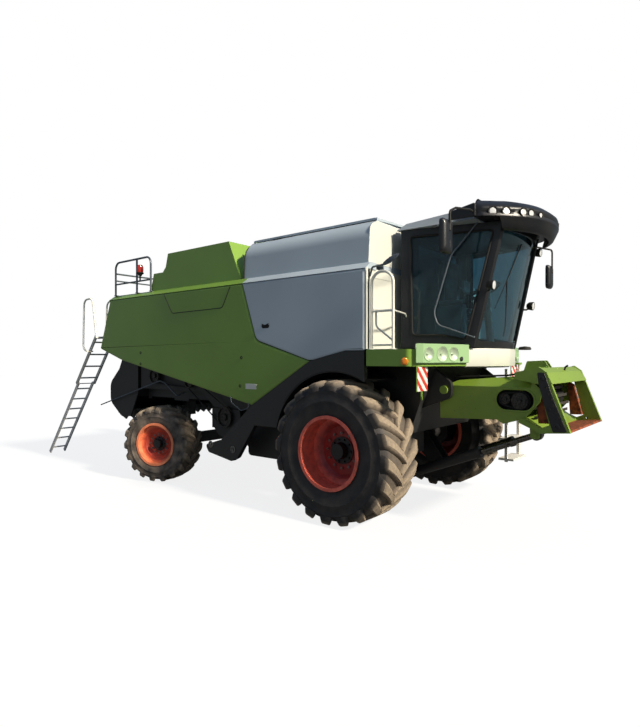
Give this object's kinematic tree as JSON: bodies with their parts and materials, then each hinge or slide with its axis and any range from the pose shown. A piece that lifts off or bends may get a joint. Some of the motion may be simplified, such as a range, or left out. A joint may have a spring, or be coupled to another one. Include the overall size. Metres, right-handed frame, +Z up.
{
  "type": "combine harvester",
  "caption": "Wheeled combine harvester without its header, with glazed cab, grain tank, folded unloading auger, lifting feeder house and rear ladder.",
  "frame": {"origin": "on the ground, under the middle of the whole machine from the feeder lip to the ladder foot", "axes": "+X forward, +Y to the machine's left, +Z up"},
  "size_m": [9.9193, 3.7, 3.8399],
  "materials": {
    "tyre_rubber": "matt, dusty",
    "rim_red": "satin",
    "chassis_black": "satin, dusty",
    "body_green": "gloss",
    "body_silver": "gloss",
    "rail_white": "satin",
    "rust_steel": "rusted",
    "rod_chrome": "polished",
    "ladder_aluminium": "satin",
    "tinted_glass": "tinted",
    "lamp_glass": "clear",
    "seat_fabric": "woven",
    "cab_plastic": "grained"
  },
  "bodies": {
    "chassis": {"belt_front": "body_silver", "belt_rear": "body_green", "cab_controls": "cab_plastic", "cab_glass": "tinted_glass", "cab_pan": "chassis_black", "cab_roof": "body_silver", "cab_shell": "chassis_black", "chassis_frame": "chassis_black", "engine": "chassis_black", "engine_hood": "body_green", "front_axle": "chassis_black", "grain_tank": "body_silver", "handrails": "rail_white", "headlamps": "lamp_glass", "ladder_top": "ladder_aluminium", "lamp_housings": "body_green", "mirrors": "chassis_black", "operator_seat": "seat_fabric", "platforms": "body_green", "rear_axle": "chassis_black", "rear_deck": "body_green", "roof_visor": "chassis_black", "side_covers": "chassis_black", "straw_hood": "chassis_black", "threshing_body": "chassis_black", "wheel_arches": "chassis_black"},
    "front_wheel_right": {"front_tyre_right": "tyre_rubber", "front_wheel_right": "rim_red"},
    "front_wheel_left": {"front_tyre_left": "tyre_rubber", "front_wheel_left": "rim_red"},
    "rear_wheel_right": {"rear_tyre_right": "tyre_rubber", "rear_wheel_right": "rim_red"},
    "rear_wheel_left": {"rear_tyre_left": "tyre_rubber", "rear_wheel_left": "rim_red"},
    "knuckle_right": {"knuckle_right": "chassis_black"},
    "knuckle_left": {"knuckle_left": "chassis_black"},
    "tie_rod": {"tie_rod": "chassis_black"},
    "side_panel_right": {"side_panel_right": "body_green"},
    "side_panel_left": {"side_panel_left": "body_green"},
    "tank_lid_right": {"tank_lid_right": "body_silver"},
    "tank_lid_left": {"tank_lid_left": "body_silver"},
    "cab_door": {"cab_door": "chassis_black", "door_glass": "tinted_glass"},
    "feeder": {"feeder_house": "body_green", "feeder_sill": "rust_steel", "feeder_drum": "rust_steel"},
    "lift_barrel_right": {"lift_barrel_right": "chassis_black"},
    "lift_barrel_left": {"lift_barrel_left": "chassis_black"},
    "lift_rod_right": {"lift_rod_right": "rod_chrome"},
    "lift_rod_left": {"lift_rod_left": "rod_chrome"},
    "auger": {"auger_tube": "body_silver"},
    "ladder_foot": {"ladder_foot": "ladder_aluminium"},
    "access_ladder": {"access_ladder": "ladder_aluminium"}
  },
  "joints": [
    {"name": "front_wheel_right_spin", "type": "hinge", "parent": "chassis", "child": "front_wheel_right", "pos_m": [2.487, -1.3835, 0.881], "axis": [0, 1, 0], "continuous": true},
    {"name": "front_wheel_left_spin", "type": "hinge", "parent": "chassis", "child": "front_wheel_left", "pos_m": [2.487, 1.3835, 0.881], "axis": [0, 1, 0], "continuous": true},
    {"name": "steer_right", "type": "hinge", "parent": "chassis", "child": "knuckle_right", "pos_m": [-1.33, -1.175, 0.62], "axis": [0, 0, 1], "range_deg": [-61, 19]},
    {"name": "steer_left", "type": "hinge", "parent": "chassis", "child": "knuckle_left", "pos_m": [-1.33, 1.175, 0.62], "axis": [0, 0, 1], "range_deg": [-61, 19]},
    {"name": "tie_rod_turn", "type": "hinge", "parent": "knuckle_right", "child": "tie_rod", "pos_m": [-1.50738, -1.24309, 0.62], "axis": [0, 0, 1], "range_deg": [-19, 61]},
    {"name": "rear_wheel_right_spin", "type": "hinge", "parent": "knuckle_right", "child": "rear_wheel_right", "pos_m": [-1.24758, -1.38972, 0.62], "axis": [-0.3584, 0.9336, 0], "continuous": true},
    {"name": "rear_wheel_left_spin", "type": "hinge", "parent": "knuckle_left", "child": "rear_wheel_left", "pos_m": [-1.41243, 1.38972, 0.62], "axis": [-0.3584, 0.9336, 0], "continuous": true},
    {"name": "side_panel_right_open", "type": "hinge", "parent": "chassis", "child": "side_panel_right", "pos_m": [0.487, -1.592, 3.052], "axis": [-1, 0, 0], "range_deg": [0, 75]},
    {"name": "side_panel_left_open", "type": "hinge", "parent": "chassis", "child": "side_panel_left", "pos_m": [0.487, 1.592, 3.052], "axis": [1, 0, 0], "range_deg": [0, 75]},
    {"name": "tank_lid_right_open", "type": "hinge", "parent": "chassis", "child": "tank_lid_right", "pos_m": [1.887, -1.266, 3.706], "axis": [1, 0, 0], "range_deg": [0, 100]},
    {"name": "tank_lid_left_open", "type": "hinge", "parent": "chassis", "child": "tank_lid_left", "pos_m": [1.887, 1.136, 3.706], "axis": [-1, 0, 0], "range_deg": [0, 100]},
    {"name": "cab_door_open", "type": "hinge", "parent": "chassis", "child": "cab_door", "pos_m": [3.109, 0.975, 2.6], "axis": [0, 0, 1], "range_deg": [0, 80]},
    {"name": "feeder_lift", "type": "hinge", "parent": "chassis", "child": "feeder", "pos_m": [3.537, 0, 1.64], "axis": [0, -1, 0], "range_deg": [-30, 6]},
    {"name": "lift_barrel_right_tilt", "type": "hinge", "parent": "chassis", "child": "lift_barrel_right", "pos_m": [2.867, -0.56, 0.487], "axis": [0, -1, 0], "range_deg": [-12.67, 2.93]},
    {"name": "lift_rod_right_slide", "type": "slide", "parent": "lift_barrel_right", "child": "lift_rod_right", "axis": [0.9294, 0, 0.369], "range_m": [-0.4806, 0.1001]},
    {"name": "lift_barrel_left_tilt", "type": "hinge", "parent": "chassis", "child": "lift_barrel_left", "pos_m": [2.867, 0.56, 0.487], "axis": [0, -1, 0], "range_deg": [-12.67, 2.93]},
    {"name": "lift_rod_left_slide", "type": "slide", "parent": "lift_barrel_left", "child": "lift_rod_left", "axis": [0.9294, 0, 0.369], "range_m": [-0.4806, 0.1001]},
    {"name": "auger_swing", "type": "hinge", "parent": "chassis", "child": "auger", "pos_m": [2.547, 1.385, 3.15], "axis": [0, 0, -1], "range_deg": [0, 100]},
    {"name": "ladder_foot_fold", "type": "hinge", "parent": "chassis", "child": "ladder_foot", "pos_m": [-3.763, -1.41, 1.54], "axis": [0, 1, 0], "range_deg": [0, 150]},
    {"name": "access_ladder_swing", "type": "hinge", "parent": "chassis", "child": "access_ladder", "pos_m": [3.647, 1.56, 1.2], "axis": [0, 0, 1], "range_deg": [0, 90]}
  ],
  "couplings": [
    {"joint": "lift_barrel_right_tilt", "follows": "feeder_lift", "ratio": 0.4055},
    {"joint": "lift_rod_right_slide", "follows": "feeder_lift", "m_per_rad": 0.9083},
    {"joint": "lift_barrel_left_tilt", "follows": "feeder_lift", "ratio": 0.4055},
    {"joint": "lift_rod_left_slide", "follows": "feeder_lift", "m_per_rad": 0.9083},
    {"joint": "steer_left", "follows": "steer_right", "ratio": 1},
    {"joint": "tie_rod_turn", "follows": "steer_right", "ratio": -1}
  ]
}
